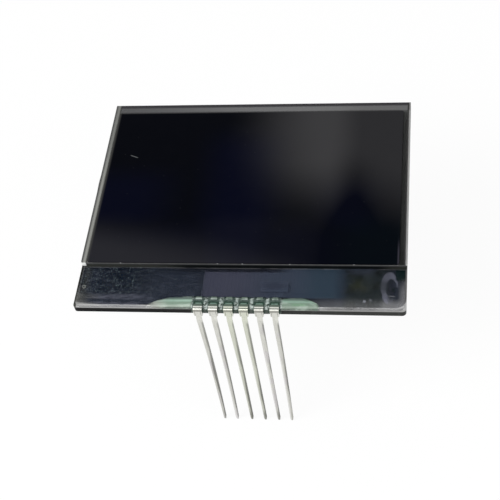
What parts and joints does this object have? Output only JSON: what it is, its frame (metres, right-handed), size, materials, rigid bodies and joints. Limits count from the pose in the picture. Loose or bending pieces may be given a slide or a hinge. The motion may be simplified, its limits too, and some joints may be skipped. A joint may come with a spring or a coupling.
{
  "type": "chip-on-glass lcd panel",
  "caption": "Bare chip-on-glass display panel, two bonded glass plates with dark polarizers, a driver ledge and a row of long clip pins bent to the rear for soldering.",
  "frame": {"origin": "centre of the overall glass outline, on the rear seating face of the rear polarizer", "axes": "+Z out of the viewing face, +Y away from the pin row, +X along the pin row to the driver chip's side"},
  "size_m": [0.0554, 0.0465, 0.0358],
  "materials": {
    "polarizing_film": "dark polarizing film, glossy",
    "rear_polarizing_film": "dark polarizing film, satin",
    "display_glass": "clear float glass, scribed edges",
    "seal_resin": "grey cured epoxy",
    "conductive_paste": "silver filled paste",
    "liquid_crystal_fluid": "dark switched-off layer",
    "plug_resin": "cured clear resin, dusty",
    "shield_tape": "black film tape",
    "silicon_die": "ground silicon",
    "bond_film": "cured bonding film",
    "clear_conductor": "thin bluish metal oxide film",
    "clear_coating": "clear silicone coating",
    "green_resin": "green light-cured resin",
    "tinned_strip": "tinned bronze strip, slightly dull"
  },
  "bodies": {
    "root": {"front_polarizer": "polarizing_film", "rear_polarizer": "rear_polarizing_film", "front_glass": "display_glass", "rear_glass": "display_glass", "perimeter_seal": "seal_resin", "crossover_dots": "conductive_paste", "liquid_crystal": "liquid_crystal_fluid", "fill_port_plug": "plug_resin", "light_shield_tape": "shield_tape", "driver_chip": "silicon_die", "chip_bond_film": "bond_film", "contact_pads": "clear_conductor", "conductor_tracks": "clear_conductor", "ledge_coating": "clear_coating", "pin_adhesive": "green_resin", "contact_pin_1": "tinned_strip", "contact_pin_2": "tinned_strip", "contact_pin_3": "tinned_strip", "contact_pin_4": "tinned_strip", "contact_pin_5": "tinned_strip", "contact_pin_6": "tinned_strip"}
  },
  "joints": []
}
